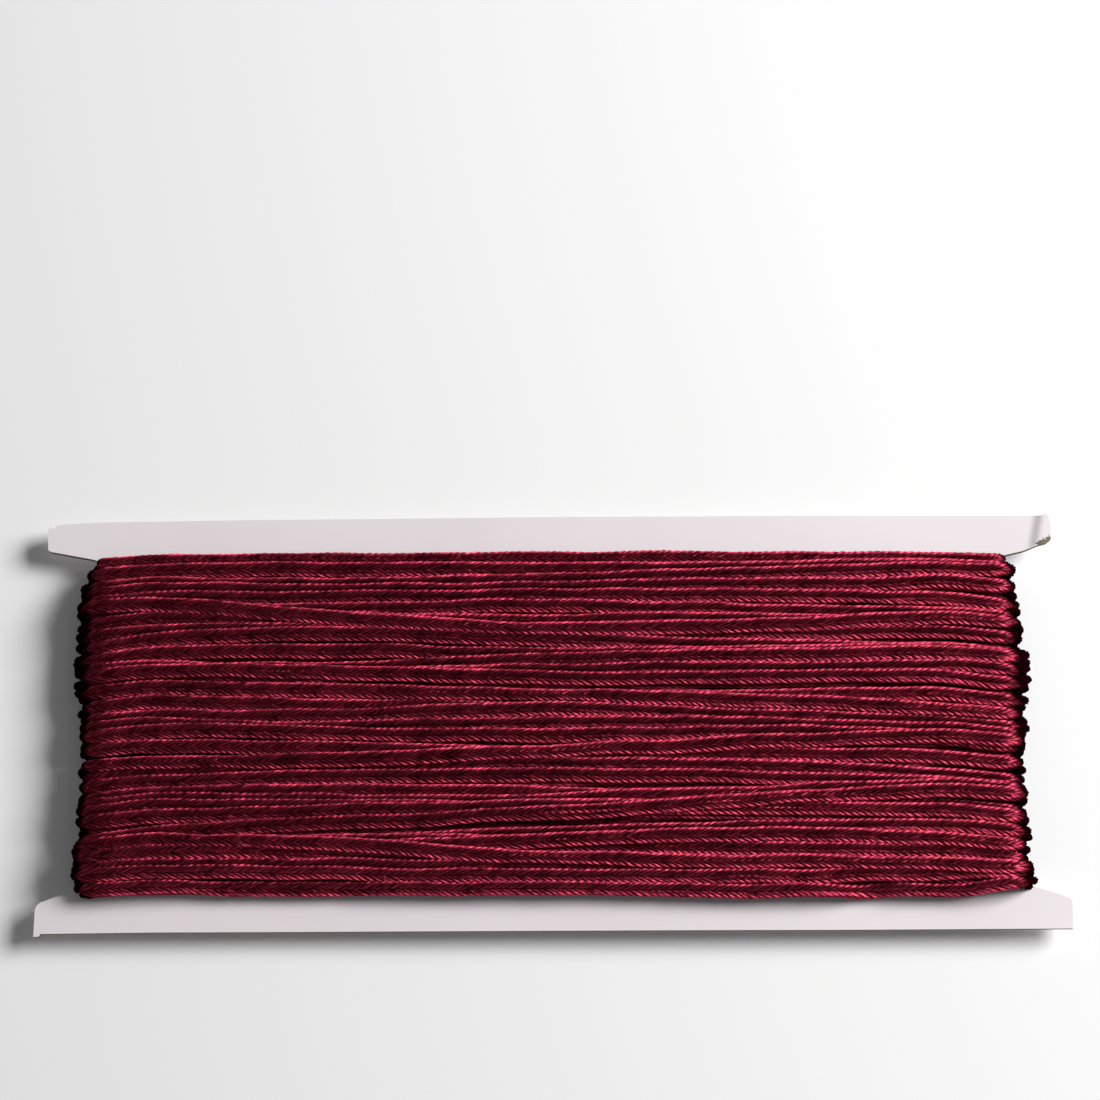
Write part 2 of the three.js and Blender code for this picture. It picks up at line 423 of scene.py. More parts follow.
def loop_parts(place):
    """Splits the loop: x on the straights, and the angle round the end it is at."""
    back_end = WAIST_HALF_LENGTH
    front_start = back_end + END_LENGTH
    front_end = front_start + 2 * WAIST_HALF_LENGTH
    last_start = front_end + END_LENGTH
    left_turn = np.clip((place - back_end) / END_LENGTH, 0, 1)
    right_turn = np.clip((place - front_end) / END_LENGTH, 0, 1)
    x = np.where(place < back_end, -place, -WAIST_HALF_LENGTH)
    x = np.where(place > front_start, place - front_start - WAIST_HALF_LENGTH, x)
    x = np.where(place > front_end, WAIST_HALF_LENGTH, x)
    x = np.where(place > last_start, WAIST_HALF_LENGTH - (place - last_start), x)
    return x, left_turn, right_turn


def loop_frame(place):
    """The x of the loop's centre line at each place, and the outward direction there (x, z)."""
    x, left_turn, right_turn = loop_parts(place)
    angle = math.pi * (left_turn + right_turn)
    return x, -np.sin(angle), -np.cos(angle)


def pulled_in(height, top_pull, bottom_pull):
    """Where a turn passes round an end: the outermost turns are drawn off the flanges."""
    top = top_pull * smooth(*TOP_PULLED, height)
    bottom = bottom_pull * smooth(*BOTTOM_PULLED, height)
    return height + top + bottom


def turn_path(place, turn, before, after):
    """The height across the card of one turn, all round: it starts and ends at the back."""
    x, left_turn, right_turn = loop_parts(place)
    left = pulled_in(turn["left"], *LEFT_PULL)
    right = pulled_in(turn["right"], *RIGHT_PULL)
    front = front_height(turn, x)
    front += (left - turn["left"]) * smooth(-PULL_FROM, -PULL_TO, x)
    front += (right - turn["right"]) * smooth(PULL_FROM, PULL_TO, x)
    start = 0.5 * (pulled_in(before["right"], *RIGHT_PULL) + left)
    end = 0.5 * (right + pulled_in(after["left"], *LEFT_PULL))
    to_left = start + (left - start) * np.clip(-x / WAIST_HALF_LENGTH, 0, 1)
    to_end = right + (end - right) * (1 - np.clip(x / WAIST_HALF_LENGTH, 0, 1))
    path = np.where(left_turn < 0.5, to_left, front)
    path = np.where(right_turn > 0.5, to_end, path)
    return path - END_DROOP * smooth(DROOP_FROM, WAIST_HALF_LENGTH, np.abs(x))


def soften(values, sigma):
    """Smooths along the loop, which closes on itself."""
    reach = int(3 * sigma / FIELD_STEP)
    offsets = np.arange(-reach, reach + 1)
    weights = np.exp(-0.5 * (offsets * FIELD_STEP / sigma) ** 2)
    weights /= weights.sum()
    return sum(w * np.roll(values, o) for w, o in zip(weights, offsets))


def highest_nearby(values, reach):
    """The highest value within reach along the loop."""
    steps = int(reach / FIELD_STEP)
    return np.max([np.roll(values, o) for o in range(-steps, steps + 1)], axis=0)


def rib_columns(field, centre_y):
    """For each column of the field under a rib: which it is and half the rib's thickness there."""
    for across in np.arange(-RIB_HALF_WIDTH, RIB_HALF_WIDTH + 1e-6, CROSS_STEP):
        half = RIB_HALF_THICKNESS * math.sqrt(max(0.0, 1 - (across / RIB_HALF_WIDTH) ** 2))
        index = np.rint((centre_y + across - CROSS_LOW) / CROSS_STEP).astype(int)
        yield np.clip(index, 0, field.shape[1] - 1), half


def rib_support(field, centre_y):
    """How high a rib's centre has to lie over the field at each place."""
    rows = np.arange(len(field))
    return np.max([field[rows, index] + half for index, half in rib_columns(field, centre_y)], 0)


def raise_field(field, centre_y, centre_height):
    """Adds a rib's upper side to the field."""
    rows = np.arange(len(field))
    for index, half in rib_columns(field, centre_y):
        field[rows, index] = np.maximum(field[rows, index], centre_height + half)


def rest_height(field, centre_y, level, ceiling):
    """How high a rib's centre comes to lie: between its level and what it has to clear."""
    support = soften(rib_support(field, centre_y), SUPPORT_SOFTNESS)
    support = soften(highest_nearby(support, SUPPORT_REACH), HEIGHT_SOFTNESS)
    return np.minimum(level + SPRING * (support - level), ceiling)


def lay_turn(field, path, ceiling, level):
    """Lays one turn on the field. Returns its height and its roll at each place."""
    level = level - EDGE_DROP * smooth(EDGE_FROM, EDGE_TO, np.abs(path))
    upper = rest_height(field, path + RIB_OFFSET, level, ceiling)
    lower = rest_height(field, path - RIB_OFFSET, level, ceiling)
    roll = np.clip(np.arctan2(upper - lower, 2 * RIB_OFFSET), -MOST_ROLL, MOST_ROLL)
    rise = RIB_OFFSET * np.sin(roll)
    side = RIB_OFFSET * np.cos(roll)
    height = np.maximum(upper, lower) - np.abs(rise)
    raise_field(field, path + side, height + rise)
    raise_field(field, path - side, height - rise)
    return height, roll


def height_ceiling(place):
    """How high off the board a turn may lie: on the back the table presses it flat."""
    _, left_turn, right_turn = loop_parts(place)
    rest = BOARD_MIDDLE_Z - BOARD_HALF_THICKNESS - RIB_HALF_THICKNESS - TABLE_PLAY
    leaving = 1 - left_turn * END_PARTS
    coming = right_turn * END_PARTS - (END_PARTS - 1)
    pressed = np.clip(np.maximum(leaving, coming), 0, 1)
    return np.where(pressed > 0, rest + (1 - pressed) * LET_GO, NO_CEILING)


def under_table():
    """The hidden layer: evenly spaced turns that wander a little."""
    random = np.random.default_rng(UNDER_SEED)
    rows = []
    pitch = (UNDER_HIGH - UNDER_LOW) / (UNDER_TURNS - 1)
    for number in range(UNDER_TURNS):
        middle = UNDER_HIGH - number * pitch
        wander = random.normal(0, UNDER_WANDER, len(STATION_NAMES))
        rows.append({name: middle + drift for name, drift in zip(STATION_NAMES, wander)})
    return rows


def lay_layer(field, place, rows, order, level):
    """Lays the rows in the given order. Each starts at the back where the one above it ends."""
    laid = {}
    random = np.random.default_rng(HAND_SEED)
    ceiling = height_ceiling(place)
    for number in order:
        before = rows[max(0, number - 1)]
        after = rows[min(len(rows) - 1, number + 1)]
        path = turn_path(place, rows[number], before, after)
        wander = soften(random.normal(0, WANDER, len(place)), WANDER_LENGTH)
        path = soften(path, PATH_SOFTNESS) + wander
        height, roll = lay_turn(field, path, ceiling, level)
        roll = roll + soften(random.normal(0, ROCK, len(place)), WANDER_LENGTH)
        laid[number] = (path, height, roll, random.uniform(0, MOST_SLIP, 2))
    return laid


def lay_winding():
    """Lays both layers. Returns the field's places, the hidden turns and the visible turns."""
    place = field_places()
    cross = CROSS_LOW + CROSS_STEP * np.arange(int((CROSS_HIGH - CROSS_LOW) / CROSS_STEP) + 1)
    core = CORE_HEIGHT * smooth(CORE_LOW - CORE_SLOPE, CORE_LOW + CORE_SLOPE, cross)
    core = core * (1 - smooth(CORE_HIGH - CORE_SLOPE, CORE_HIGH + CORE_SLOPE, cross))
    field = np.tile(core, (len(place), 1))
    bottom_up = range(UNDER_TURNS - 1, -1, -1)
    under = lay_layer(field, place, under_table(), bottom_up, HIDDEN_LEVEL)
    order = sorted(range(len(TURNS)), key=lambda n: (TURNS[n]["depth"], n))
    over = lay_layer(field, place, TURNS, order, SHOWN_LEVEL)
    return place, under, over


# Plaiting the braid


def section():
    """The braid's cross-section: its outline, how far each point is along the skin, and the most."""
    points = [(0.0, GROOVE_TOP)]
    for angle in RIB_ANGLES:
        turn = math.radians(angle)
        across = RIB_OFFSET + RIB_HALF_WIDTH * math.cos(turn)
        points.append((across, RIB_HALF_THICKNESS * math.sin(turn)))
    points.append((0.0, GROOVE_BOTTOM))
    half = np.array(points)
    skin = np.r_[0, np.cumsum(np.linalg.norm(np.diff(half, axis=0), axis=1))]
    mirrored = half[1:-1][::-1] * (-1, 1)
    outline = np.vstack([half, mirrored])
    along = np.r_[skin, skin[1:-1][::-1]]
    return outline, along, skin[-1]


def section_normals(outline):
    """Outward directions of the section's points."""
    ahead = np.roll(outline, -1, axis=0) - np.roll(outline, 1, axis=0)
    normals = np.stack([-ahead[:, 1], ahead[:, 0]], 1)
    return normals / np.linalg.norm(normals, axis=1)[:, None]


def turn_frames(place, path, height, roll, slip):
    """A turn's centre line, and the directions across its face and out of it, at each place."""
    x, out_x, out_z = loop_frame(place)
    reach = BOARD_HALF_THICKNESS + height
    left = np.interp(-path, [-y for y in REACH_Y], REACH_LEFT)
    right = np.interp(-path, [-y for y in REACH_Y], REACH_RIGHT)
    wanted = np.where(out_x < 0, left - slip[0], right - slip[1])
    wanted = wanted - WAIST_HALF_LENGTH - RIB_HALF_THICKNESS
    slack = np.clip(wanted - reach, SLACK_IN, SLACK_OUT) * np.abs(out_x) ** SLACK_POWER
    centre = np.stack([
        x + out_x * (reach + slack),
        path,
        BOARD_MIDDLE_Z + out_z * reach,
    ], 1)
    ahead = np.roll(centre, -1, axis=0) - np.roll(centre, 1, axis=0)
    ahead /= np.linalg.norm(ahead, axis=1)[:, None]
    across = np.array([0.0, 1.0, 0.0]) - ahead * ahead[:, 1:2]
    across /= np.linalg.norm(across, axis=1)[:, None]
    out = np.cross(ahead, across)
    out *= np.sign(out[:, 0] * out_x + out[:, 2] * out_z)[:, None]
    cos, sin = np.cos(roll)[:, None], np.sin(roll)[:, None]
    return centre, across * cos + out * sin, out * cos - across * sin


def column_places(coarse, pick):
    """Where the columns of the mesh stand: close together where the braid shows."""
    step = pick / COLUMNS_PER_PICK
    hidden = WAIST_HALF_LENGTH - FINE_BEFORE_END
    first = int(hidden / step) // COLUMNS_PER_PICK * COLUMNS_PER_PICK
    total = int(LOOP_LENGTH / step) // COLUMNS_PER_PICK * COLUMNS_PER_PICK
    columns = np.arange(total + 1)
    seen = (columns >= first) & (columns <= total - first)
    keep = (columns % coarse == 0) & (seen | (columns % COLUMNS_PER_PICK == 0))
    columns = columns[keep]
    return columns, columns * (LOOP_LENGTH / total)


def pick_drift(columns, pick, random):
    """How far each column is off an even pick: the strands aren't all equally wide."""
    picks = columns / COLUMNS_PER_PICK
    drift = random.normal(0, PICK_DRIFT * pick, int(picks[-1]) + 1)
    drift[[0, -1]] = 0
    return np.interp(picks, np.arange(len(drift)), drift)


def on_loop(vectors, place, spot):
    """Vectors that are kept for each place, read at other spots of the loop, which closes on itself."""
    grid = np.r_[place[-1] - LOOP_LENGTH, place, place[0] + LOOP_LENGTH]
    return np.stack([np.interp(spot, grid, np.r_[part[-1], part, part[0]])
                     for part in vectors.T], 2)


def strand_bulges(columns, outline, depth, random):
    """How far each point of the skin stands out: a strand on one rib is a valley on the other."""
    shape = np.array(STRAND_SHAPE)
    strands = random.normal(1.0, UNEVEN, (2, columns[-1] // COLUMNS_PER_PICK + 2))
    shifted = columns + COLUMNS_PER_PICK // 2
    upper = shape[columns % COLUMNS_PER_PICK] * strands[0][columns // COLUMNS_PER_PICK]
    lower = shape[shifted % COLUMNS_PER_PICK] * strands[1][shifted // COLUMNS_PER_PICK]
    side = np.sign(outline[:, 0])
    bulge = np.where(side > 0, upper[:, None], lower[:, None])
    return np.where(side == 0, np.minimum(upper, lower)[:, None], bulge) * depth


def ring_quads(rings, count):
    """Quads between neighbouring rings of count points each."""
    start = np.arange(rings - 1)[:, None] * count
    here = start + np.arange(count)[None, :]
    ahead = start + (np.arange(count)[None, :] + 1) % count
    return np.stack([here, ahead, ahead + count, here + count], 2).reshape(-1, 4)


def strand_uv(columns, skin):
    """UVs of the quads' corners: millimetres along the skin, and picks along the braid."""
    picks = columns / COLUMNS_PER_PICK
    shift = np.where(np.arange(len(skin)) < len(skin) // 2, 0.0, 0.5)
    low = picks[:-1, None] + shift
    high = picks[1:, None] + shift
    here = np.broadcast_to(skin, low.shape)
    ahead = np.broadcast_to(np.roll(skin, -1), low.shape)
    corners = ((here, low), (ahead, low), (ahead, high), (here, high))
    return np.stack([np.stack(corner, 2) for corner in corners], 2).reshape(-1, 2)


def plait(place, turn, coarse, random, settings):
    """The mesh of one turn: vertices, quads, UVs and how far round an end each vertex is."""
    pick = settings.pick / MM
    depth = settings.strand_depth / MM if coarse == 1 else 0.0
    outline, skin, longest = section()
    columns, stand = column_places(coarse, pick)
    stand = stand + pick_drift(columns, pick, random)
    lean = STRAND_SLANT * (skin - 0.5 * longest)
    spot = np.mod(stand[:, None] + lean, LOOP_LENGTH)
    centre, across, out = (on_loop(part, place, spot) for part in turn_frames(place, *turn))
    bulge = strand_bulges(columns, outline, depth, random)
    profile = outline + section_normals(outline) * bulge[:, :, None]
    vertices = centre + across * profile[..., :1] + out * profile[..., 1:]
    vertices = vertices.reshape(-1, 3)
    vertices[:, 2] = np.maximum(vertices[:, 2], FLOOR_PLAY)
    bend = np.abs(loop_frame(spot)[1]).ravel()
    return vertices, ring_quads(len(columns), len(outline)), strand_uv(columns, skin), bend


def join_turns(name, place, turns, coarse, settings):
    """One mesh object that holds several turns. Its name and size seed their unevenness."""
    random = np.random.default_rng(len(name) + len(turns))
    vertices, quads, uvs, bends = [], [], [], []
    start = 0
    for number, turn in enumerate(turns):
        points, faces, uv, bend = plait(place, turn, coarse, random, settings)
        vertices.append(points)
        quads.append(faces + start)
        uvs.append(uv + (0, number * TURN_UV_STEP))
        bends.append(bend)
        start += len(points)
    piece = make_mesh(name, np.vstack(vertices), np.vstack(quads), np.vstack(uvs))
    # How far round an end each vertex is, which sets the painted shade round the ends.
    attribute = piece.data.attributes.new("Bend", "FLOAT", "POINT")
    attribute.data.foreach_set("value", np.concatenate(bends).astype(np.float32))
    return piece


def streaks(tree, split, along, across):
    """Noise drawn out along the strand: how much it changes each millimetre and each pick."""
    stretch = add_node(tree, "ShaderNodeCombineXYZ")
    tree.links.new(math_node(tree, "MULTIPLY", split.outputs[0], along), stretch.inputs[0])
    tree.links.new(math_node(tree, "MULTIPLY", split.outputs[1], across), stretch.inputs[1])
    noise = add_node(tree, "ShaderNodeTexNoise", Scale=1.0, Detail=2.0, Roughness=0.5)
    tree.links.new(stretch.outputs[0], noise.inputs["Vector"])
    return noise.outputs["Fac"]


def soft_step(tree, value, low, high, most=1.0):
    """0 at low, most at high, a soft step between them and level past them."""
    step = add_node(tree, "ShaderNodeMapRange", interpolation_type="SMOOTHSTEP")
    step.inputs["From Min"].default_value = low
    step.inputs["From Max"].default_value = high
    step.inputs["To Max"].default_value = most
    tree.links.new(value, step.inputs["Value"])
    return step.outputs[0]


def lustre(tree, split, filaments):
    """How bright the thread is, 0 to 1: uneven by filament, by ply and by strand."""
    plies = streaks(tree, split, *PLY_RATES)
    strand = add_node(tree, "ShaderNodeTexWhiteNoise", noise_dimensions="1D")
    tree.links.new(math_node(tree, "FLOOR", split.outputs[1]), strand.inputs["W"])
    parts = (
        (filaments, FILAMENT_SHARE),
        (plies, PLY_SHARE),
        (strand.outputs["Value"], STRAND_SHARE),
    )
    total = None
    for value, share in parts:
        part = math_node(tree, "MULTIPLY", value, share)
        total = part if total is None else math_node(tree, "ADD", total, part)
    bright = math_node(tree, "SUBTRACT", total, DULL_BELOW)
    return math_node(tree, "MINIMUM", math_node(tree, "MAXIMUM", bright, 0.0), 1.0)


def painted_end_shade(tree, split):
    """How much painted shade there is round the ends: it grows as the braid bends, soonest at its
    sides.
    """
    bend = add_node(tree, "ShaderNodeAttribute", attribute_name="Bend")
    sides = math_node(tree, "MULTIPLY", split.outputs[0], END_SHADE_AT_SIDES)
    sooner = math_node(tree, "ADD", sides, 1.0)
    reach = math_node(tree, "MULTIPLY", bend.outputs["Fac"], sooner)
    return soft_step(tree, reach, END_SHADE_FROM, END_SHADE_TO, END_SHADE_MOST)


def thread_colour(tree, split, filaments, end_shade, settings):
    """The thread's colour, with painted shade in the valleys between strands, at the sides, in the
    groove and round the ends.
    """
    body = mix_colours(tree, lustre(tree, split, filaments), settings.shade, settings.thread)
    # Painted shade in the valley between strands.
    pick = math_node(tree, "FRACT", split.outputs[1])
    off_middle = math_node(tree, "ABSOLUTE", math_node(tree, "SUBTRACT", pick, 0.5))
    valley = soft_step(tree, off_middle, VALLEY_SHADE_FROM, 0.5)
    body = mix_colours(tree, valley, body, settings.shade)
    # Painted shade where the skin turns down into the gap beside the braid.
    side = soft_step(tree, split.outputs[0], SIDE_FROM, SIDE_TO, SIDE_SHADE)
    body = mix_colours(tree, side, body, settings.shade)
    # Painted shade in the groove between the ribs.
    groove = soft_step(tree, split.outputs[0], GROOVE_WIDTH, 0.0, GROOVE_SHADE)
    body = mix_colours(tree, groove, body, settings.shade)
    # The darkest painted shade, round the ends.
    end_shade_colour = tuple(END_SHADE_DEPTH * c for c in settings.shade)
    return mix_colours(tree, end_shade, body, end_shade_colour)


def thread_material(settings):
    """Lustrous twisted thread: bright along the filaments, with painted shade between the strands, at
    the sides, in the groove and round the ends.
    """
    material, tree, shader = new_material("Lustrous thread")
    links = tree.links
    place = add_node(tree, "ShaderNodeUVMap", uv_map="Strand")
    split = add_node(tree, "ShaderNodeSeparateXYZ")
    links.new(place.outputs[0], split.inputs[0])
    filaments = streaks(tree, split, *FILAMENT_RATES)
    # Painted shade round the ends: it darkens the colour and takes the metallic sheen away.
    end_shade = painted_end_shade(tree, split)
    colour = thread_colour(tree, split, filaments, end_shade, settings)
    links.new(colour, shader.inputs["Base Color"])
    # Less metallic sheen where the painted shade round the ends falls.
    links.new(math_node(tree, "SUBTRACT", METALLIC, end_shade), shader.inputs["Metallic"])
    bump = add_node(tree, "ShaderNodeBump", Strength=1.0, Distance=FILAMENT_DEPTH * MM)
    links.new(filaments, bump.inputs["Height"])
    links.new(bump.outputs[0], shader.inputs["Normal"])
    along = add_node(tree, "ShaderNodeTangent", direction_type="UV_MAP", uv_map="Strand")
    links.new(along.outputs[0], shader.inputs["Tangent"])
    shader.inputs["Anisotropic"].default_value = 0.96
    shader.inputs["Anisotropic Rotation"].default_value = 0.25
    shader.inputs["Roughness"].default_value = 0.46
    shader.inputs["Specular IOR Level"].default_value = 0.0
    shader.inputs["Specular Tint"].default_value = (1.0, 0.35, 0.45, 1.0)
    return material


def build_core():
    """The plain heart of the winding, under the modelled layers."""
    place = np.linspace(0, LOOP_LENGTH, CORE_POINTS, endpoint=False)
    x, out_x, out_z = loop_frame(place)
    rings = (
        (CORE_LOW, CORE_EDGE_HEIGHT),
        (CORE_LOW + CORE_SLOPE, CORE_HEIGHT),
        (CORE_HIGH - CORE_SLOPE, CORE_HEIGHT),
        (CORE_HIGH, CORE_EDGE_HEIGHT),
    )
    vertices = []
    for y, height in rings:
        reach = BOARD_HALF_THICKNESS + height
        vertices.append(np.stack([
            x + out_x * reach,
            np.full(CORE_POINTS, y),
            BOARD_MIDDLE_Z + out_z * reach,
        ], 1))
    quads = ring_quads(len(rings), CORE_POINTS)
    return make_mesh("winding_core", np.vstack(vertices), quads, np.zeros((quads.size, 2)))


class BRAID_OT_winding(bpy.types.Operator):
    """Lay and plait the turns of braid"""

    bl_idname = "braid.winding"
    bl_label = "Wind the braid"

    def execute(self, context):
        settings = context.scene.braid
        place, under, over = lay_winding()
        material = thread_material(settings)
        pieces = [build_core()]
        hidden = [under[number] for number in sorted(under)]
        pieces.append(join_turns("hidden_turns", place, hidden, COLUMNS_PER_PICK, settings))
        shown = [over[number] for number in sorted(over)]
        for start in range(0, len(shown), TURNS_PER_PIECE):
            name = f"turns_{start // TURNS_PER_PIECE + 1}"
            part = shown[start:start + TURNS_PER_PIECE]
            pieces.append(join_turns(name, place, part, 1, settings))
        for piece in pieces:
            piece.data.materials.append(material)
            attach(piece, "root")
            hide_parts("winding")
        return {"FINISHED"}


# The card

# Corners of the card as it lies in the photo, counter-clockwise from the lower left.
CARD_CORNERS = (
    (-101.9, -41.9), (-100.8, -41.8), (-100.5, -41.3), (-78.0, -41.2), (0.0, -41.5),
    (60.0, -41.8), (102.0, -41.9), (102.1, -36.6), (101.6, -36.0), (100.4, -35.4),
    (97.6, -34.5), (90.0, -32.3), (90.0, 33.0), (95.8, 34.3), (98.9, 35.4), (100.5, 35.8),
    (101.5, 36.6), (101.6, 38.8), (101.2, 41.3), (100.7, 41.9), (99.9, 41.6), (60.0, 42.0),
    (0.0, 42.3), (-60.0, 42.3), (-90.0, 42.1), (-98.0, 41.8), (-100.4, 41.5), (-100.7, 40.9),
    (-101.7, 41.1), (-102.0, 40.6), (-101.8, 36.4), (-101.2, 36.0), (-93.0, 34.4),
    (-90.0, 33.6), (-90.0, -31.9), (-94.5, -33.1), (-98.5, -34.3), (-100.9, -35.2),
    (-101.5, -35.8), (-101.8, -36.6),
)

# The board's mesh: the step along its outline, the grid inside it, and how clear of the outline
# the grid stays, as a share of its step. Deep under the winding and past the ends of the waist
# there are no grid points.
OUTLINE_STEP = 1.2
BOARD_GRID = 2.4
GRID_CLEARANCE = 0.6
COVERED_X = 86.0
COVERED_Y = 32.0
WAIST_END_X = 89.0
FLANGE_Y = 36.0

# The ear, which is the creased corner, has a closer grid of its own. Its lower edge slants up
# from the grid's lower left.
EAR_CORNER = (94.0, 33.0)
EAR_GRID = 0.6
EAR_LOW = (95.0, 34.0)
EAR_HIGH = (101.5, 42.0)
EAR_EDGE_Y = 34.3
EAR_EDGE_SLOPE = 0.37

# The crease: a point on it, how it slants, where the bend begins and ends beside it, and how far
# the tip stands up. Only the upper flange has it.
CREASE_X = 98.2
CREASE_Y = 36.5
CREASE_SLANT = 0.22
CREASE_BEFORE = 1.0
CREASE_AFTER = 0.8
EAR_LIFT = 0.7
UPPER_FLANGE_Y = 30.0

# The tip of the ear, where the coating is rubbed off, lies below this slanting line.
CRUSHED_X = 98.3
CRUSHED_Y = 35.9
CRUSHED_SLOPE = 0.45

# The board's slight warp, as two waves: their height, and how they run over the board.
WARPS = (
    {"height": 0.10, "along_x": 0.045, "along_y": 0.0, "start": 0.6},
    {"height": 0.05, "along_x": 0.11, "along_y": 0.05, "start": 0.0},
)

# The materials of the board, by slot, and how much the mottling and the fibre change its colours.
PULP_SLOT = 1
MOTTLING = 0.94
FIBRE_LIGHT = 1.9

# How the triangulation works: triangles inside the outline alone, and points welded this near.
INSIDE_ONLY = 1
WELD = 1e-5


def card_edge(step):
    """The card's outline with a point every step along it."""
    corners = np.array(CARD_CORNERS)
    points = []
    for start, end in zip(corners, np.roll(corners, -1, axis=0)):
        count = max(1, int(np.linalg.norm(end - start) / step))
        for index in range(count):
            points.append(start + (end - start) * index / count)
    return np.array(points)


def on_flanges(x, y):
    """Whether the board's grid has a point here."""
    covered = abs(y) < COVERED_Y and abs(x) < COVERED_X
    past_waist = abs(x) > WAIST_END_X and abs(y) < FLANGE_Y
    ear = x > EAR_CORNER[0] and y > EAR_CORNER[1]
    return not (covered or past_waist or ear)


def on_ear(x, y):
    """Whether the ear's grid has a point here."""
    return EAR_EDGE_SLOPE * (x - EAR_LOW[0]) + EAR_EDGE_Y < y


def grid_points(edge, low, high, step, wanted):
    """The wanted points of a grid, clear of the outline's own points."""
    found = []
    for x in np.arange(low[0], high[0], step):
        for y in np.arange(low[1], high[1], step):
            clear = np.min(np.abs(edge - (x, y)).max(1)) > step * GRID_CLEARANCE
            if clear and wanted(x, y):
                found.append((x, y))
    return found


def card_lift(x, y):
    """How far the board bends out of its plane: one creased corner and a slight warp."""
    crease = CREASE_X + (y - CREASE_Y) * CREASE_SLANT
    ear = EAR_LIFT * smooth(crease - CREASE_BEFORE, crease + CREASE_AFTER, x)
    warp = sum(wave["height"] * np.sin(x * wave["along_x"] + y * wave["along_y"] + wave["start"])
               for wave in WARPS)
    return warp + ear * (y > UPPER_FLANGE_Y)


def is_crushed(x, y):
    """Whether the coating is rubbed off the fibre here."""
    below = y < CRUSHED_Y + CRUSHED_SLOPE * (x - CRUSHED_X)
    return x > CRUSHED_X and y > UPPER_FLANGE_Y and below


def board_plan():
    """The board from above: its points, its triangles, and the edges of its outline."""
    edge = card_edge(OUTLINE_STEP)
    low = edge.min(0) + BOARD_GRID / 2
    inner = grid_points(edge, low, edge.max(0), BOARD_GRID, on_flanges)
    inner += grid_points(edge, EAR_LOW, EAR_HIGH, EAR_GRID, on_ear)
    outline = [(i, (i + 1) % len(edge)) for i in range(len(edge))]
    plane = [Vector(point) for point in (*edge, *inner)]
    points, _, triangles, *_ = delaunay_2d_cdt(plane, outline, [], INSIDE_ONLY, WELD)
    return np.array([tuple(point) for point in points]), triangles, outline


def build_card():
    """The board: two coated faces and a raw cut edge, as one closed mesh."""
    flat, triangles, outline = board_plan()
    lift = card_lift(flat[:, 0], flat[:, 1])
    top = np.column_stack([flat, BOARD_HIGH.z + lift])
    bottom = np.column_stack([flat, BOARD_LOW.z + lift])
    count = len(flat)
    faces = [tuple(triangle) for triangle in triangles]
    faces += [tuple(count + i for i in reversed(triangle)) for triangle in triangles]
    sides = [(i + count, j + count, j, i) for i, j in outline]
    mesh = bpy.data.meshes.new("card_board")
    mesh.from_pydata((np.vstack([top, bottom]) * MM).tolist(), [], faces + sides)
    rubbed = [i for i, face in enumerate(triangles) if is_crushed(*flat[list(face)].mean(0))]
    cut = range(len(faces), len(faces) + len(sides))
    for index in (*rubbed, *cut):
        mesh.polygons[index].material_index = PULP_SLOT
    mesh.polygons.foreach_set("use_smooth", np.ones(len(mesh.polygons), bool))
    mesh.set_sharp_from_angle(angle=math.radians(40))
    mesh.update()
    board = bpy.data.objects.new("card_board", mesh)
    bpy.context.scene.collection.objects.link(board)
    return board


def coating_material(settings):
    """Coated paper: smooth and pale, with faint mottling."""
    material, tree, shader = new_material("Coated paper")
    links = tree.links
    where = add_node(tree, "ShaderNodeTexCoord")
    cloud = add_node(tree, "ShaderNodeTexNoise", Scale=60.0, Detail=4.0, Roughness=0.6)
    links.new(where.outputs["Object"], cloud.inputs["Vector"])
    darker = tuple(MOTTLING * c for c in settings.coating)
    colour = mix_colours(tree, cloud.outputs["Fac"], settings.coating, darker)
    links.new(colour, shader.inputs["Base Color"])
    grain = add_node(tree, "ShaderNodeTexNoise", Scale=2200.0, Detail=2.0)
    links.new(where.outputs["Object"], grain.inputs["Vector"])
    bump = add_node(tree, "ShaderNodeBump", Strength=0.15, Distance=0.02 * MM)
    links.new(grain.outputs["Fac"], bump.inputs["Height"])
    links.new(bump.outputs[0], shader.inputs["Normal"])
    shader.inputs["Roughness"].default_value = 0.5
    return material


def pulp_material(settings):
    """Raw grey-brown board, in layers along the cut."""
    material, tree, shader = new_material("Cut board")
    links = tree.links
    where = add_node(tree, "ShaderNodeTexCoord")
    stretch = add_node(tree, "ShaderNodeMapping")
    stretch.inputs["Scale"].default_value = (400.0, 400.0, 4000.0)
    links.new(where.outputs["Object"], stretch.inputs["Vector"])
    fibre = add_node(tree, "ShaderNodeTexNoise", Scale=1.0, Detail=4.0, Roughness=0.7)
    links.new(stretch.outputs[0], fibre.inputs["Vector"])
    lighter = tuple(min(1.0, FIBRE_LIGHT * c) for c in settings.pulp)
    colour = mix_colours(tree, fibre.outputs["Fac"], settings.pulp, lighter)
    links.new(colour, shader.inputs["Base Color"])
    bump = add_node(tree, "ShaderNodeBump", Strength=0.6, Distance=0.1 * MM)
    links.new(fibre.outputs["Fac"], bump.inputs["Height"])
    links.new(bump.outputs[0], shader.inputs["Normal"])
    shader.inputs["Roughness"].default_value = 0.9
    return material


class BRAID_OT_card(bpy.types.Operator):
    """Cut the card from coated board"""

    bl_idname = "braid.card"
    bl_label = "Cut the card"

    def execute(self, context):
        settings = context.scene.braid_card
        board = build_card()
        board.data.materials.append(coating_material(settings))
        board.data.materials.append(pulp_material(settings))
        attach(board, "root")
        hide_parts("card")
        return {"FINISHED"}


# The stage

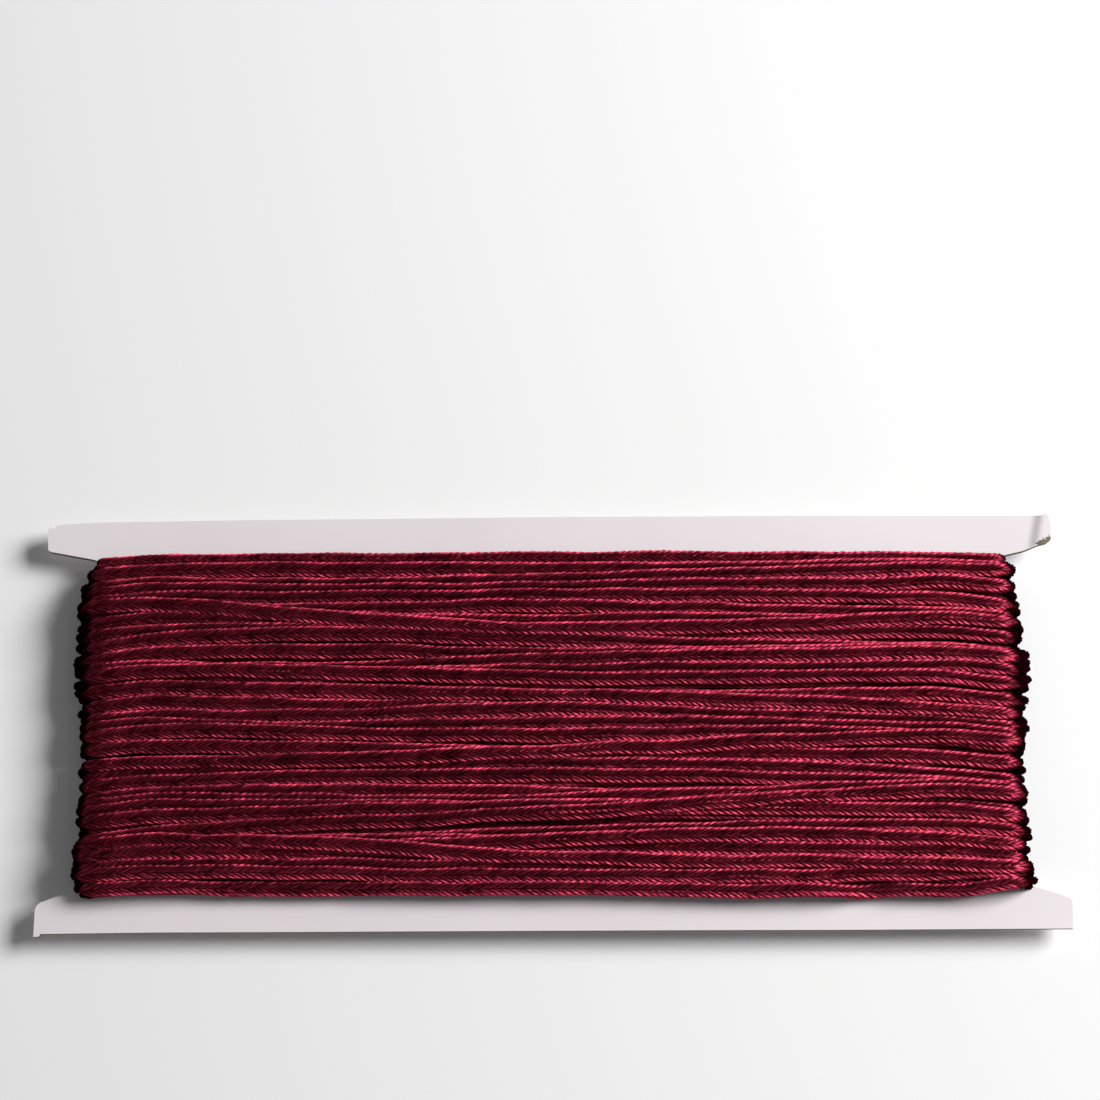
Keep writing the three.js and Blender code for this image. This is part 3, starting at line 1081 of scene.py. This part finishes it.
# Where the camera stands, which way it looks, in degrees, and its lens.
CAMERA_PLACE = (5.19, -100.5, 551.2)
CAMERA_PITCH = 13.98
CAMERA_YAW = 0.635
CAMERA_ROLL = -0.41
CAMERA_LENS = 90.8

# Where the large soft light stands, how large it is, and how far the floor reaches.
KEY_PLACE = (990.0, 360.0, 820.0)
KEY_SIZE = (650.0, 550.0)
FLOOR_REACH = 3000.0


def add_camera():
    """The camera at the photo's viewing angle, nearly overhead."""
    data = bpy.data.cameras.new("Camera")
    data.lens = CAMERA_LENS
    data.sensor_width = 36.0
    data.clip_start = 0.01
    camera = bpy.data.objects.new("Camera", data)
    camera.location = Vector(CAMERA_PLACE) * MM
    turn = Euler((math.radians(CAMERA_PITCH), math.radians(CAMERA_YAW),
                  math.radians(CAMERA_ROLL)), "XYZ")
    camera.rotation_euler = turn
    bpy.context.scene.collection.objects.link(camera)
    bpy.context.scene.camera = camera


def add_key(power):
    """The large soft light at the right, aimed at the middle of the card."""
    data = bpy.data.lights.new("Key", "AREA")
    data.shape = "RECTANGLE"
    data.size, data.size_y = (side * MM for side in KEY_SIZE)
    data.energy = power
    lamp = bpy.data.objects.new("Key", data)
    lamp.location = Vector(KEY_PLACE) * MM
    lamp.rotation_euler = (-lamp.location).to_track_quat("-Z", "Y").to_euler()
    bpy.context.scene.collection.objects.link(lamp)


def add_floor(colour):
    """A wide plain floor."""
    signs = ((-1, -1), (1, -1), (1, 1), (-1, 1))
    corners = [(x * FLOOR_REACH, y * FLOOR_REACH, 0) for x, y in signs]
    floor = make_mesh("floor", corners, [(0, 1, 2, 3)], smooth_faces=False)
    material, _, shader = new_material("Floor")
    shader.inputs["Base Color"].default_value = (*colour, 1.0)
    shader.inputs["Roughness"].default_value = 0.9
    floor.data.materials.append(material)


def add_world(strength):
    """Even light from all round."""
    world = bpy.data.worlds.new("Studio")
    world.use_nodes = True
    background = world.node_tree.nodes["Background"]
    background.inputs["Color"].default_value = (1.0, 1.0, 1.0, 1.0)
    background.inputs["Strength"].default_value = strength
    bpy.context.scene.world = world


class BRAID_OT_stage(bpy.types.Operator):
    """Set the floor, the lights and the camera"""

    bl_idname = "braid.stage"
    bl_label = "Set the stage"

    def execute(self, context):
        settings = context.scene.braid_stage
        add_camera()
        add_floor(settings.floor)
        add_world(settings.fill)
        add_key(settings.key)
        bpy.context.scene.view_settings.view_transform = "Standard"
        return {"FINISHED"}


class BRAID_PT_panel(bpy.types.Panel):
    """Lists the steps and their settings."""

    bl_label = "Braid on a card"
    bl_idname = "BRAID_PT_panel"
    bl_space_type = "VIEW_3D"
    bl_region_type = "UI"
    bl_category = "Braid"

    def draw(self, context):
        layout = self.layout
        for step, group in STEPS:
            settings = getattr(context.scene, group)
            box = layout.box()
            box.operator(step)
            for name in settings.__annotations__:
                box.prop(settings, name)


STEPS = (
    ("braid.card", "braid_card"),
    ("braid.winding", "braid"),
    ("braid.stage", "braid_stage"),
)
CLASSES = (
    BraidSettings,
    CardSettings,
    StageSettings,
    BRAID_OT_winding,
    BRAID_OT_card,
    BRAID_OT_stage,
    BRAID_PT_panel,
)


def register():
    """Registers the classes and the settings."""
    for cls in CLASSES:
        bpy.utils.register_class(cls)
    bpy.types.Scene.braid = PointerProperty(type=BraidSettings)
    bpy.types.Scene.braid_card = PointerProperty(type=CardSettings)
    bpy.types.Scene.braid_stage = PointerProperty(type=StageSettings)


def unregister():
    """Takes the settings and the classes away again."""
    del bpy.types.Scene.braid
    del bpy.types.Scene.braid_card
    del bpy.types.Scene.braid_stage
    for cls in reversed(CLASSES):
        bpy.utils.unregister_class(cls)


def main():
    """Builds everything in order."""
    register()
    bpy.ops.braid.stage()
    bpy.ops.braid.card()
    bpy.ops.braid.winding()


if __name__ == "__main__":
    main()
